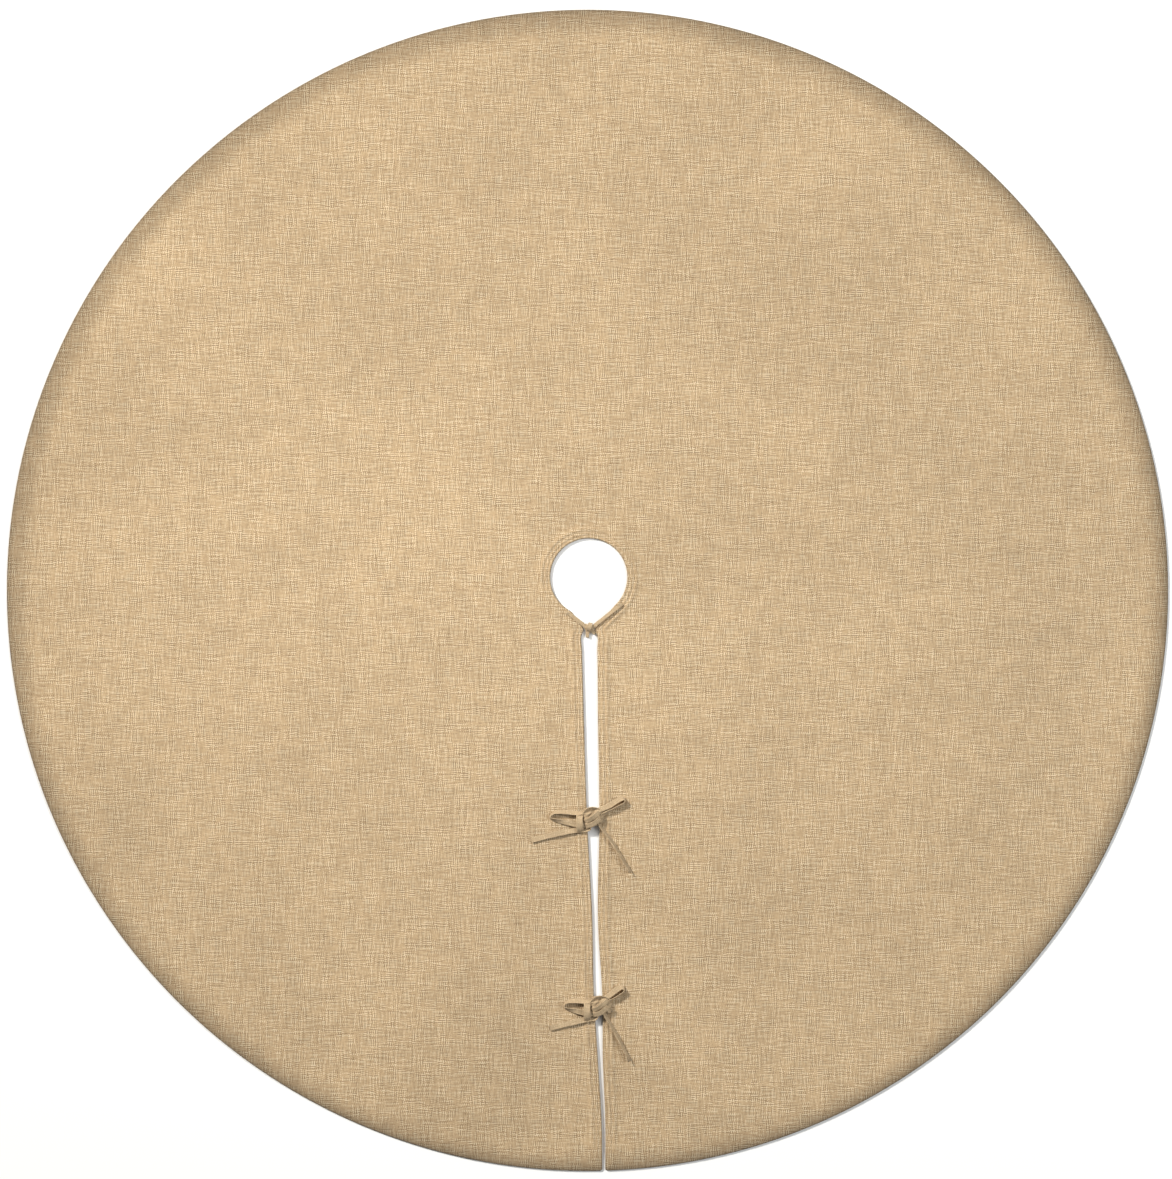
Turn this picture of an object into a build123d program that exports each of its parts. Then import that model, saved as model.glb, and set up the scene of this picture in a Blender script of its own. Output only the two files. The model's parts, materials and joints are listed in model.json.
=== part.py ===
from build123d import *
import math
import os

# Round tree skirt of two cloths, bagged out, slit from its neck hole to its rim and closed
# by three pairs of strings. Millimetres. It lies flat: z = 0 is the underside of the lining,
# the origin is the centre of the disc and the slit runs towards -Y.

os.makedirs("parts", exist_ok=True)

# Driving dimensions.
SKIRT_DIAMETER = 1219.2
HOLE_DIAMETER = 80.8
HOLE_CENTRE = (1.3, 14.0)
# The cloth folds along a line across the centre of the hole.
FOLD_Y = HOLE_CENTRE[1]
LINING_THICKNESS = 0.9
FACE_THICKNESS = 1.1

# The welt is the band along every edge where the seam allowances are turned in.
WELT_WIDTH = 12.0
WELT_RISE = 1.2
WELT_ROUNDING = 0.8
LINING_ROUNDING = 0.35
CORNER_ROUNDING = 3.0

# Slit edges, from the neck corner to just past the rim. The strings draw them together.
SLIT_LEFT = [
    (-5.8, -44), (-3.7, -136), (-0.6, -235), (5.2, -350),
    (6.6, -420), (11.0, -493), (15.0, -560), (15.6, -613),
]
SLIT_RIGHT = [
    (10.0, -43), (11.0, -136), (12.4, -240), (11.0, -350),
    (15.4, -425), (16.0, -493), (18.6, -560), (18.6, -613),
]
# The neck hole runs into the slit by a funnel that starts at these polar angles.
FUNNEL_LEFT_ANGLE = 243.0
FUNNEL_RIGHT_ANGLE = 313.0

# Threads, drawn as plain bands.
SEAM_INSET = 2.5
SEAM_WIDTH = 0.5
SEAM_PLAY = 0.05
TOPSTITCH_INSET = 7.0
TOPSTITCH_WIDTH = 0.6
TOPSTITCH_HEIGHT = 0.3

# Each string is held by a tack, a square block of stitches on the welt.
TACK_SIDE = 3.2
TACK_HEIGHT = 0.6
STRING_DIAMETER = 2.6
CORNER_SHARE = 0.45

skirt_radius = SKIRT_DIAMETER / 2
hole_radius = HOLE_DIAMETER / 2
field_top = LINING_THICKNESS + FACE_THICKNESS
welt_top = field_top + WELT_RISE
tack_top = welt_top + TACK_HEIGHT


def skirt_outline(inset, rim_inset=None):
    """The skirt's outline, drawn in from the neck and slit, and from the rim, by these widths."""
    rim = inset if rim_inset is None else rim_inset
    neck = hole_radius + inset
    neck_left, neck_right = [
        (
            HOLE_CENTRE[0] + neck * math.cos(math.radians(angle)),
            HOLE_CENTRE[1] + neck * math.sin(math.radians(angle)),
        )
        for angle in (FUNNEL_LEFT_ANGLE, FUNNEL_RIGHT_ANGLE)
    ]
    with BuildSketch() as outline:
        Circle(skirt_radius - rim)
        with Locations(HOLE_CENTRE):
            Circle(neck, mode=Mode.SUBTRACT)
        with BuildLine():
            left_edge = Spline(*[(x - inset, y) for x, y in SLIT_LEFT])
            right_edge = Spline(*[(x + inset, y) for x, y in SLIT_RIGHT])
            Polyline(left_edge @ 0, neck_left, HOLE_CENTRE, neck_right, right_edge @ 0)
            Line(left_edge @ 1, right_edge @ 1)
        make_face(mode=Mode.SUBTRACT)
        corners = [outline.vertices().sort_by_distance(edge @ 0)[0] for edge in (left_edge, right_edge)]
        fillet(corners, radius=CORNER_ROUNDING)
    return outline.sketch


def band_outline(inset, width, rim_inset):
    """A band along the outline, centred on the inset."""
    with BuildSketch() as band:
        add(skirt_outline(inset - width / 2, rim_inset - width / 2))
        add(skirt_outline(inset + width / 2, rim_inset + width / 2), mode=Mode.SUBTRACT)
    return band.sketch


def panel_region(panel):
    """Plan of the ground that one panel covers: behind the fold, or left or right of the slit."""
    reach = SKIRT_DIAMETER
    slit_middle = [((a[0] + b[0]) / 2, (a[1] + b[1]) / 2) for a, b in zip(SLIT_LEFT, SLIT_RIGHT)]
    with BuildSketch() as region:
        if panel == "back":
            with Locations((0, FOLD_Y + reach / 2)):
                Rectangle(2 * reach, reach)
        else:
            side = -reach if panel == "front_left" else reach
            with BuildLine():
                Polyline(
                    (HOLE_CENTRE[0], FOLD_Y), *slit_middle, (slit_middle[-1][0], -reach),
                    (side, -reach), (side, FOLD_Y),
                    close=True,
                )
            make_face()
    return region.sketch


def export_piece(piece, name):
    """Label one finished piece and write it."""
    piece.label = name
    export_step(piece, f"parts/{name}.step")


def cut_panel(whole, panel):
    """One panel of a piece that covers the whole skirt."""
    with BuildPart() as cut:
        add(whole)
        with BuildSketch(Plane.XY.offset(-WELT_WIDTH)):
            add(panel_region(panel))
        extrude(amount=3 * WELT_WIDTH, mode=Mode.INTERSECT)
    return cut.part


# The lining lies on the floor, its lower edge rounded.
with BuildPart() as lining:
    with BuildSketch():
        add(skirt_outline(0))
    extrude(amount=LINING_THICKNESS)
    fillet(lining.faces().sort_by(Axis.Z)[0].edges(), LINING_ROUNDING)

# The face cloth, with the welt standing up along its edges and a channel for the seam below.
with BuildPart() as face_cloth:
    with BuildSketch(Plane.XY.offset(LINING_THICKNESS)):
        add(skirt_outline(0))
    extrude(amount=FACE_THICKNESS + WELT_RISE)
    with BuildSketch(Plane.XY.offset(field_top)):
        add(skirt_outline(WELT_WIDTH))
    extrude(amount=WELT_RISE, mode=Mode.SUBTRACT)
    fillet(face_cloth.faces().sort_by(Axis.Z)[-1].edges(), WELT_ROUNDING)
    with BuildSketch(Plane.XY.offset(LINING_THICKNESS)):
        add(band_outline(SEAM_INSET, SEAM_WIDTH + 2 * SEAM_PLAY, SEAM_INSET))
    extrude(amount=SEAM_WIDTH + 2 * SEAM_PLAY, mode=Mode.SUBTRACT)

# The hidden seam that joins the two cloths all round their edges.
with BuildPart() as edge_seam:
    with BuildSketch(Plane.XY.offset(LINING_THICKNESS + SEAM_PLAY)):
        add(band_outline(SEAM_INSET, SEAM_WIDTH, SEAM_INSET))
    extrude(amount=SEAM_WIDTH)

# The row of stitches on top of the welt, round the neck and down both sides of the slit.
with BuildPart() as topstitch:
    with BuildSketch(Plane.XY.offset(welt_top)):
        add(band_outline(TOPSTITCH_INSET, TOPSTITCH_WIDTH, TOPSTITCH_INSET))
        Circle(skirt_radius - WELT_WIDTH, mode=Mode.INTERSECT)
    extrude(amount=TOPSTITCH_HEIGHT)

for panel in ("back", "front_left", "front_right"):
    export_piece(cut_panel(lining.part, panel), f"lining_{panel}")
    export_piece(cut_panel(face_cloth.part, panel), f"face_cloth_{panel}")
    export_piece(cut_panel(topstitch.part, panel), f"topstitch_{panel}")

# Behind the fold the seam is two runs, one at the neck and one at the rim.
neck_run, rim_run = cut_panel(edge_seam.part, "back").solids().sort_by(SortBy.VOLUME)
export_piece(neck_run, "neck_seam_back")
export_piece(rim_run, "rim_seam_back")
for panel in ("front_left", "front_right"):
    export_piece(cut_panel(edge_seam.part, panel), f"edge_seam_{panel}")

# Strings. Each route starts on its tack; z is above the floor. The first point's x and y are
# the tack's place. Strings of the right side stay to the right of those of the left side.
NECK_LEFT = [
    (-20.5, -24.0, tack_top), (-20.5, -24.0, 6.8), (-18.8, -25.1, 8.9), (-15.2, -27.4, 8.9),
    (-9.8, -31.0, 6.8), (-4.2, -34.6, 5.0), (-0.6, -38.8, 4.0), (-0.3, -44.2, 2.6), (-1.2, -49.8, 1.8),
]
NECK_RIGHT = [
    (33.9, -15.9, tack_top), (33.9, -15.9, 6.8), (32.2, -17.1, 8.9), (28.2, -19.8, 9.0), (22.0, -24.6, 7.2),
    (14.8, -30.0, 5.8), (8.4, -34.6, 4.8), (4.8, -38.9, 4.0), (4.9, -44.0, 2.6), (6.9, -48.6, 1.8),
]
ROUTES = {
    "neck_string_left": NECK_LEFT,
    "neck_string_right": NECK_RIGHT,
}

# The middle and lower bows: each string makes one loop and one tail, about its knot's centre.
MIDDLE_KNOT = (4.7, -238.4)
LOWER_KNOT = (12.6, -436.0)
BOWS = {
    "middle_string_left": (MIDDLE_KNOT, [
        (-8.8, 0.6, tack_top), (-8.8, 0.6, 7.4), (-5.0, 1.0, 9.0), (-1.2, 3.4, 9.0), (-1.4, 8.0, 8.8),
        (-7.0, 9.8, 8.4), (-16.5, 9.4, 7.8), (-28.0, 9.6, 7.0), (-37.6, 8.2, 6.0), (-43.0, 4.0, 5.6),
        (-43.0, -1.4, 5.4), (-37.4, -4.2, 5.6), (-27.0, -5.0, 6.2), (-16.0, -6.4, 7.4),
        (-8.6, -7.4, 8.2), (-3.5, -7.4, 8.2), (-1.8, -9.8, 6.6), (-3.5, -12.2, 5.1), (-9.0, -12.6, 5.0),
        (-18.0, -13.6, 5.0), (-31.0, -15.4, 3.8), (-46.0, -18.6, 3.4), (-62.0, -23.0, 3.4),
    ]),
    "middle_string_right": (MIDDLE_KNOT, [
        (11.4, -3.0, tack_top), (11.4, -3.0, 7.4), (8.0, -2.0, 9.2), (4.6, 1.4, 9.4), (4.0, 6.2, 9.0),
        (7.4, 9.8, 8.4), (13.6, 12.6, 7.8), (21.5, 16.8, 7.2), (29.0, 20.6, 6.4), (34.4, 21.4, 5.8),
        (38.4, 18.8, 5.4), (38.0, 14.2, 5.2), (33.4, 12.2, 5.2), (24.6, 9.0, 5.6), (15.8, 5.6, 5.8),
        (9.6, 2.4, 5.6), (6.6, -2.8, 5.2), (8.6, -9.0, 5.1), (15.6, -17.4, 5.0), (25.0, -29.6, 3.8),
        (33.2, -43.0, 3.4), (42.0, -57.2, 3.4),
    ]),
    "lower_string_left": (LOWER_KNOT, [
        (-8.8, 0.6, tack_top), (-8.8, 0.6, 7.4), (-5.0, 1.0, 9.0), (-1.6, 3.2, 9.0), (-1.8, 7.6, 8.8),
        (-7.0, 9.2, 8.4), (-15.4, 8.6, 7.8), (-24.8, 8.4, 7.0), (-32.6, 6.8, 6.0), (-36.8, 3.0, 5.6),
        (-36.6, -2.0, 5.4), (-31.4, -4.4, 5.6), (-23.0, -5.6, 6.2), (-14.6, -7.0, 7.4),
        (-8.6, -7.6, 8.2), (-3.9, -7.6, 8.2), (-2.2, -10.0, 6.6), (-3.9, -12.4, 5.1), (-9.0, -13.0, 5.0),
        (-17.0, -14.6, 5.0), (-27.0, -17.0, 3.8), (-39.0, -19.6, 3.4), (-51.0, -23.2, 3.4),
    ]),
    "lower_string_right": (LOWER_KNOT, [
        (12.4, -4.6, tack_top), (12.4, -4.6, 7.4), (8.4, -3.2, 9.4), (4.4, 0.6, 9.4), (2.6, 5.4, 9.0),
        (4.6, 9.6, 8.4), (9.6, 12.6, 7.8), (15.0, 17.0, 7.2), (19.4, 20.8, 6.4), (24.2, 20.8, 5.8),
        (27.2, 17.2, 5.4), (25.6, 13.0, 5.2), (20.6, 10.8, 5.2), (13.8, 7.8, 5.6), (7.4, 4.0, 5.8),
        (3.8, -0.8, 5.4), (4.4, -7.0, 5.2), (8.6, -13.8, 5.1), (15.0, -24.4, 4.8), (22.0, -36.0, 3.6),
        (32.4, -57.6, 3.4),
    ]),
}
for name, (knot, points) in BOWS.items():
    ROUTES[name] = [(knot[0] + x, knot[1] + y, z) for x, y, z in points]


def corner_radii(route):
    """As large an arc at each corner as its two runs allow."""
    points = [Vector(*point) for point in route]
    runs = [b - a for a, b in zip(points, points[1:])]
    radii = []
    for before, after in zip(runs, runs[1:]):
        turn = math.radians(before.get_angle(after))
        radii.append(CORNER_SHARE * min(before.length, after.length) / math.tan(turn / 2))
    return radii


for name, route in ROUTES.items():
    radii = corner_radii(route)
    with BuildPart() as string:
        with BuildLine() as path:
            FilletPolyline(*route, radius=radii)
        with BuildSketch(Plane(origin=path.line @ 0, z_dir=path.line % 0)):
            Circle(STRING_DIAMETER / 2)
        sweep()
    export_piece(string.part, name)
    length = sum(edge.length for edge in path.edges())
    share = string.part.volume / (length * math.pi * STRING_DIAMETER**2 / 4)
    print(f"{name}: length {length:.1f}, volume share {share:.4f}, radii", [round(r, 1) for r in radii])

    with BuildPart() as tack:
        with BuildSketch(Plane.XY.offset(welt_top)):
            with Locations(route[0][:2]):
                Rectangle(TACK_SIDE, TACK_SIDE)
        extrude(amount=TACK_HEIGHT)
    export_piece(tack.part, name.replace("string", "tack"))
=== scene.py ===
import json
import math

import bmesh
import bpy
import numpy as np
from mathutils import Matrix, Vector, geometry


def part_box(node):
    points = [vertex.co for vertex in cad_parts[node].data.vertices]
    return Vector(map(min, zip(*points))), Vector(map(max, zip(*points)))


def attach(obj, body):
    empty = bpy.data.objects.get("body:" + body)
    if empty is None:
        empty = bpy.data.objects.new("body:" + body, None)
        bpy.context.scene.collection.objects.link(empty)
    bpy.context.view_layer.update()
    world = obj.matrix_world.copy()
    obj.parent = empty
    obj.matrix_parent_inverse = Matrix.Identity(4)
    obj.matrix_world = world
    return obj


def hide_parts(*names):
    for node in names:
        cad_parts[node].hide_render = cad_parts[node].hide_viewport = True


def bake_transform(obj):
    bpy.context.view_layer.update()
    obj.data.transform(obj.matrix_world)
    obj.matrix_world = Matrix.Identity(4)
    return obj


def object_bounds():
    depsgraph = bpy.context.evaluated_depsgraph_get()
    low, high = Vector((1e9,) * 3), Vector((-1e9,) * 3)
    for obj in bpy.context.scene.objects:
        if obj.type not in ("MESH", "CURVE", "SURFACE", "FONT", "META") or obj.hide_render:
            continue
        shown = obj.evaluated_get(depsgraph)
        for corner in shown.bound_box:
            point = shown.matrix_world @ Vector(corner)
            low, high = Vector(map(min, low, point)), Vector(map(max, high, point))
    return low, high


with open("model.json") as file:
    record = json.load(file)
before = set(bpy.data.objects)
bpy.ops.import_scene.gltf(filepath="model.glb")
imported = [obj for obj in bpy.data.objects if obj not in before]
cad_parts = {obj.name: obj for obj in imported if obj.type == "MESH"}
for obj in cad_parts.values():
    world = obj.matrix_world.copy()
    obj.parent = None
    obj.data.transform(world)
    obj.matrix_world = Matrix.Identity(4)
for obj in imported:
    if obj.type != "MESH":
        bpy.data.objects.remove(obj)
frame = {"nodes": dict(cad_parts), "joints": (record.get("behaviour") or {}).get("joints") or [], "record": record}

# Round tree skirt of linen-look cloth, laid flat, slit from its neck hole to its rim and closed
# by three pairs of strings. Metres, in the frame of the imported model; MM makes them of millimetres.
MM = 0.001

cad_low, cad_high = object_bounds()
mounts = {mount["name"]: mount for mount in frame["record"]["mounts"]}
HOLE_X, HOLE_Y = mounts["trunk_hole"]["pos_m"][:2]
HOLE_RADIUS = mounts["trunk_hole"]["dims"]["r_mm"] * MM
RIM_RADIUS = (cad_high.x - cad_low.x) / 2
FOLD_Y = frame["joints"][0]["pos_m"][1]
LINING_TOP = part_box("lining_back")[1].z
TACK_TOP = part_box("neck_tack_left")[1].z
FACE_THICKNESS = 1.2 * MM
FIELD_TOP = LINING_TOP + FACE_THICKNESS

SIDES = ("left", "right")


def smoothstep(low, high, value):
    """0 below low, 1 above high, and a smooth rise between them."""
    t = np.clip((value - low) / (high - low), 0, 1)
    return t * t * (3 - 2 * t)


# ---------------------------------------------------------------- camera and lights

SENSOR = 36 * MM
LENS = 85 * MM
VIEW_LENGTH = 1.2375
VIEW_CENTRE = (-1.6 * MM, 0.9 * MM)


def make_camera():
    """Straight down on the skirt, +Y up in the picture."""
    data = bpy.data.cameras.new("camera")
    data.lens = LENS / MM
    data.sensor_width = SENSOR / MM
    camera = bpy.data.objects.new("camera", data)
    camera.location = (*VIEW_CENTRE, FIELD_TOP + VIEW_LENGTH * LENS / SENSOR)
    bpy.context.scene.collection.objects.link(camera)
    bpy.context.scene.camera = camera


def make_light(name, place, size, power, colour):
    """A square soft light that faces the middle of the skirt and doesn't show itself."""
    data = bpy.data.lights.new(name, "AREA")
    data.size = size
    data.energy = power
    data.color = colour
    light = bpy.data.objects.new(name, data)
    light.location = place
    light.visible_camera = False
    light.rotation_euler = (-Vector(place)).to_track_quat("-Z", "Y").to_euler()
    bpy.context.scene.collection.objects.link(light)


def make_lights():
    """Soft studio light that comes mostly from the upper left."""
    make_light("key", (-3.9, 3.1, 3.7), 0.8, 465, (1.0, 0.965, 0.91))
    make_light("overhead", (-0.24, 0.0, 0.46), 0.25, 0.55, (1.0, 0.985, 0.95))
    make_light("fill", (2.5, 0.2, 2.6), 2.0, 72, (0.95, 0.98, 1.0))
    world = bpy.data.worlds.new("studio")
    world.use_nodes = True
    background = world.node_tree.nodes["Background"]
    background.inputs["Color"].default_value = (1.0, 0.985, 0.96, 1)
    background.inputs["Strength"].default_value = 0.15
    bpy.context.scene.world = world
    bpy.context.scene.view_settings.view_transform = "Standard"


# ---------------------------------------------------------------- materials

class NodeKit:
    """Short calls for building one material's nodes."""

    def __init__(self, name):
        self.material = bpy.data.materials.new(name)
        self.material.use_nodes = True
        self.tree = self.material.node_tree
        self.shader = self.tree.nodes["Principled BSDF"]

    def add(self, kind, inputs=(), **settings):
        node = self.tree.nodes.new(kind)
        for key, value in settings.items():
            setattr(node, key, value)
        for key, value in dict(inputs).items():
            self.put(node.inputs[key], value)
        return node

    def put(self, socket, value):
        if isinstance(value, bpy.types.NodeSocket):
            self.tree.links.new(value, socket)
        else:
            socket.default_value = value

    def math(self, operation, *values):
        node = self.tree.nodes.new("ShaderNodeMath")
        node.operation = operation
        for socket, value in zip(node.inputs, values):
            self.put(socket, value)
        return node.outputs[0]

    def vector(self, x, y, z=0.0):
        return self.add("ShaderNodeCombineXYZ", {"X": x, "Y": y, "Z": z}).outputs[0]

    def noise(self, place, scale, detail=2.0, roughness=0.5):
        inputs = {"Vector": place, "Scale": scale, "Detail": detail, "Roughness": roughness}
        return self.add("ShaderNodeTexNoise", inputs).outputs["Fac"]

    def ramp(self, value, low, high, to_low, to_high):
        inputs = {"Value": value, "From Min": low, "From Max": high, "To Min": to_low, "To Max": to_high}
        return self.add("ShaderNodeMapRange", inputs, interpolation_type="SMOOTHSTEP").outputs["Result"]

    def mix(self, factor, first, second, blend="MIX"):
        node = self.add("ShaderNodeMix", data_type="RGBA", blend_type=blend)
        self.put(node.inputs["Factor"], factor)
        colours = [socket for socket in node.inputs if socket.type == "RGBA"]
        self.put(colours[0], first)
        self.put(colours[1], second)
        return next(socket for socket in node.outputs if socket.type == "RGBA")

    def grey(self, value):
        return self.add("ShaderNodeCombineColor", {"Red": value, "Green": value, "Blue": value}).outputs[0]


FLOOR_REACH = 30.0
FLOOR_DROP = 0.2 * MM
# The lamps light the floor well up to the first distance; beyond the second they don't reach it.
GLOW_FROM, GLOW_TO = 1.5, 7.0


def floor_material():
    """Pale and matt. Far from the object it glows a little, to stay as pale as it is near by."""
    kit = NodeKit("floor")
    kit.shader.inputs["Base Color"].default_value = (0.93, 0.93, 0.925, 1)
    kit.shader.inputs["Roughness"].default_value = 0.7
    kit.shader.inputs["Emission Color"].default_value = (1.0, 0.995, 0.985, 1)
    place = kit.add("ShaderNodeTexCoord").outputs["Object"]
    distance = kit.add("ShaderNodeVectorMath", {0: place}, operation="LENGTH").outputs["Value"]
    inputs = {"Value": distance, "From Min": GLOW_FROM, "From Max": GLOW_TO, "To Max": 0.75}
    kit.put(kit.shader.inputs["Emission Strength"], kit.add("ShaderNodeMapRange", inputs).outputs["Result"])
    return kit.material


def make_floor():
    """A plain pale floor just under the skirt."""
    mesh = bpy.data.meshes.new("floor")
    corners = [(x * FLOOR_REACH, y * FLOOR_REACH, 0) for x, y in ((-1, -1), (1, -1), (1, 1), (-1, 1))]
    mesh.from_pydata(corners, [], [(0, 1, 2, 3)])
    mesh.materials.append(floor_material())
    floor = bpy.data.objects.new("floor", mesh)
    floor.location.z = -FLOOR_DROP
    bpy.context.scene.collection.objects.link(floor)


PLACE_ATTRIBUTE = "flat_place"
INSET_ATTRIBUTE = "edge_inset"
YARN_WANDER = 5 * MM
# Painted shade on the cloth near its outline, where it rolls down out of the light: over a broad band, over the
# turn of the rim, and along every edge.
RIM_SHADE_BAND = (RIM_RADIUS - 30 * MM, RIM_RADIUS + 3 * MM)
LIP_SHADE_BAND, LIP_PAINTED_SHADE = (RIM_RADIUS - 7 * MM, RIM_RADIUS), 0.82
EDGE_SHADE_BAND, EDGE_PAINTED_SHADE = 2.4 * MM, 0.80


def weave_material(name, dark, middle, light, pitch, streak, contrast=1.0, edge_painted_shade=None):
    """Plain weave of slubby yarns, each with its own run of light and dark along its length.

    The colours are those of a dark, a middling and a light yarn, pitch is the distance from yarn to
    yarn, streak the length of a yarn's light or dark run, and edge_painted_shade the painted shade at the rim.
    Given edge_painted_shade, the cloth also gets painted shade over the turn of the rim and along every edge.
    """
    kit = NodeKit(name)
    place = kit.add("ShaderNodeAttribute", attribute_name=PLACE_ATTRIBUTE).outputs["Vector"]
    split = kit.add("ShaderNodeSeparateXYZ", {"Vector": place}).outputs
    # The yarns wander a little from straight.
    wander_x = kit.math("SUBTRACT", kit.noise(kit.vector(split["X"], split["Y"], 3.1), 7.0), 0.5)
    wander_y = kit.math("SUBTRACT", kit.noise(kit.vector(split["X"], split["Y"], 8.7), 7.0), 0.5)
    x = kit.math("DIVIDE", kit.math("MULTIPLY_ADD", wander_x, YARN_WANDER, split["X"]), pitch)
    y = kit.math("DIVIDE", kit.math("MULTIPLY_ADD", wander_y, YARN_WANDER, split["Y"]), pitch)

    def yarn(across, along, sign, seed):
        """Height and tone of one set of yarns, from their cross and long coordinates in pitches."""
        index = kit.math("FLOOR", across)
        offset = kit.math("MULTIPLY_ADD", kit.math("FRACT", across), 2.0, -1.0)
        below_crown = kit.math("POWER", offset, 2.0)
        arch = kit.math("SQRT", kit.math("MAXIMUM", kit.math("SUBTRACT", 1.0, below_crown), 0))
        wave = kit.math("SINE", kit.math("MULTIPLY", kit.math("ADD", along, index), math.pi))
        height = kit.math("MULTIPLY_ADD", wave, 0.45 * sign, kit.math("MULTIPLY", arch, 0.75))
        run = kit.math("MULTIPLY", along, pitch / streak)
        # A yarn's tone is set against its neighbour's, so that light and dark yarns don't bunch.
        own, next_one = (
            kit.noise(kit.vector(kit.math("MULTIPLY_ADD", index, 7.31, 7.31 * k), run, seed), 1.0, 3.0, 0.6)
            for k in (0, 1)
        )
        own = kit.math("MULTIPLY_ADD", kit.math("SUBTRACT", own, next_one), 0.7, 0.5)
        return height, own

    # Whichever yarn is higher is the one that shows.
    warp_height, warp_tone = yarn(x, y, 1, 0.0)
    weft_height, weft_tone = yarn(y, x, -1, 40.0)
    warp_on_top = kit.math("GREATER_THAN", warp_height, weft_height)
    height = kit.math("MAXIMUM", warp_height, weft_height)
    tone = kit.add("ShaderNodeMix", data_type="FLOAT")
    kit.put(tone.inputs[0], warp_on_top)
    kit.put(tone.inputs[2], weft_tone)
    kit.put(tone.inputs[3], warp_tone)
    # The tone picks a colour from dark by middling to light.
    spread = kit.math("MULTIPLY_ADD", kit.math("SUBTRACT", tone.outputs[0], 0.5), 4.6 * contrast, 0.5)
    low_half = kit.ramp(spread, 0.0, 0.5, 0.0, 1.0)
    high_half = kit.ramp(spread, 0.5, 1.0, 0.0, 1.0)
    colour = kit.mix(high_half, kit.mix(low_half, (*dark, 1), (*middle, 1)), (*light, 1))
    # Painted shade darkens it down between the yarns, and its tone varies in broad clouds and in small flecks.
    gap_shade = kit.ramp(height, 0.15, 0.7, 0.62, 1.0)
    cloud = kit.ramp(kit.noise(place, 5.0, 3.0, 0.55), 0.3, 0.7, 0.95, 1.05)
    fleck = kit.ramp(kit.noise(place, 60.0, 3.0), 0.3, 0.7, 0.94, 1.06)
    shade = kit.math("MULTIPLY", gap_shade, kit.math("MULTIPLY", cloud, fleck))
    # Painted shade: darker over the broad band at the rim, over the turn of the rim and along every edge, where
    # the cloth rolls down out of the light.
    if edge_painted_shade is not None:
        inset = kit.add("ShaderNodeAttribute", attribute_name=INSET_ATTRIBUTE).outputs["Fac"]
        radius = kit.add("ShaderNodeVectorMath", {0: kit.vector(split["X"], split["Y"])},
                         operation="LENGTH").outputs["Value"]
        rim = kit.ramp(radius, *RIM_SHADE_BAND, 1.0, edge_painted_shade)
        lip = kit.ramp(radius, *LIP_SHADE_BAND, 1.0, LIP_PAINTED_SHADE)
        edge = kit.ramp(inset, 0.0, EDGE_SHADE_BAND, EDGE_PAINTED_SHADE, 1.0)
        shade = kit.math("MULTIPLY", kit.math("MULTIPLY", shade, lip), kit.math("MULTIPLY", rim, edge))
    kit.put(kit.shader.inputs["Base Color"], kit.mix(1.0, colour, kit.grey(shade), "MULTIPLY"))
    # The relief is the yarns' own, with fuzz on it.
    fuzz = kit.noise(place, 2600.0, 2.0)
    relief = kit.math("MULTIPLY_ADD", fuzz, 0.25, height)
    bump = kit.add("ShaderNodeBump", {"Strength": 0.55, "Distance": 0.22 * MM, "Height": relief})
    kit.put(kit.shader.inputs["Normal"], bump.outputs[0])
    kit.put(kit.shader.inputs["Roughness"], kit.ramp(height, 0.2, 1.0, 0.97, 0.86))
    kit.shader.inputs["Specular IOR Level"].default_value = 0.25
    kit.shader.inputs["Sheen Weight"].default_value = 0.12
    kit.shader.inputs["Sheen Roughness"].default_value = 0.6
    return kit.material


THREAD_TWIST = 0.9 * MM


def thread_material(name, colour):
    """Two-ply sewing thread, its twist running along the stitch."""
    kit = NodeKit(name)
    place = kit.add("ShaderNodeAttribute", attribute_name=PLACE_ATTRIBUTE).outputs["Vector"]
    split = kit.add("ShaderNodeSeparateXYZ", {"Vector": place}).outputs
    # The twist's place depends on the angle round the thread and the distance along it.
    lay = kit.math("MULTIPLY_ADD", split["Y"], 2 * math.pi / THREAD_TWIST, split["X"])
    twist = kit.math("ABSOLUTE", kit.math("SINE", lay))
    tone = kit.ramp(kit.noise(place, 900.0, 2.0), 0.3, 0.7, 0.85, 1.1)
    # Painted shade in the grooves between the plies of the twist, times the thread's own tone.
    shade = kit.math("MULTIPLY", tone, kit.ramp(twist, 0.0, 0.6, 0.7, 1.0))
    kit.put(kit.shader.inputs["Base Color"], kit.mix(1.0, (*colour, 1), kit.grey(shade), "MULTIPLY"))
    bump = kit.add("ShaderNodeBump", {"Strength": 0.6, "Distance": 0.1 * MM, "Height": twist})
    kit.put(kit.shader.inputs["Normal"], bump.outputs[0])
    kit.shader.inputs["Roughness"].default_value = 0.62
    kit.shader.inputs["Sheen Weight"].default_value = 0.1
    return kit.material


FACE = weave_material(
    "face_weave", (0.285, 0.19, 0.10), (0.485, 0.345, 0.199), (0.70, 0.57, 0.385),
    1.1 * MM, 20 * MM, contrast=0.88, edge_painted_shade=0.6,
)
LINING = weave_material(
    "lining_weave", (0.33, 0.24, 0.14), (0.46, 0.345, 0.22), (0.57, 0.455, 0.32),
    0.7 * MM, 9 * MM, contrast=0.6, edge_painted_shade=0.85,
)
STRING = weave_material(
    "string_weave", (0.31, 0.222, 0.123), (0.475, 0.35, 0.212), (0.68, 0.535, 0.345),
    0.75 * MM, 12 * MM, contrast=0.6,
)
THREAD = thread_material("sewing_thread", (0.50, 0.38, 0.24))


# ---------------------------------------------------------------- helpers for pieces

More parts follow.
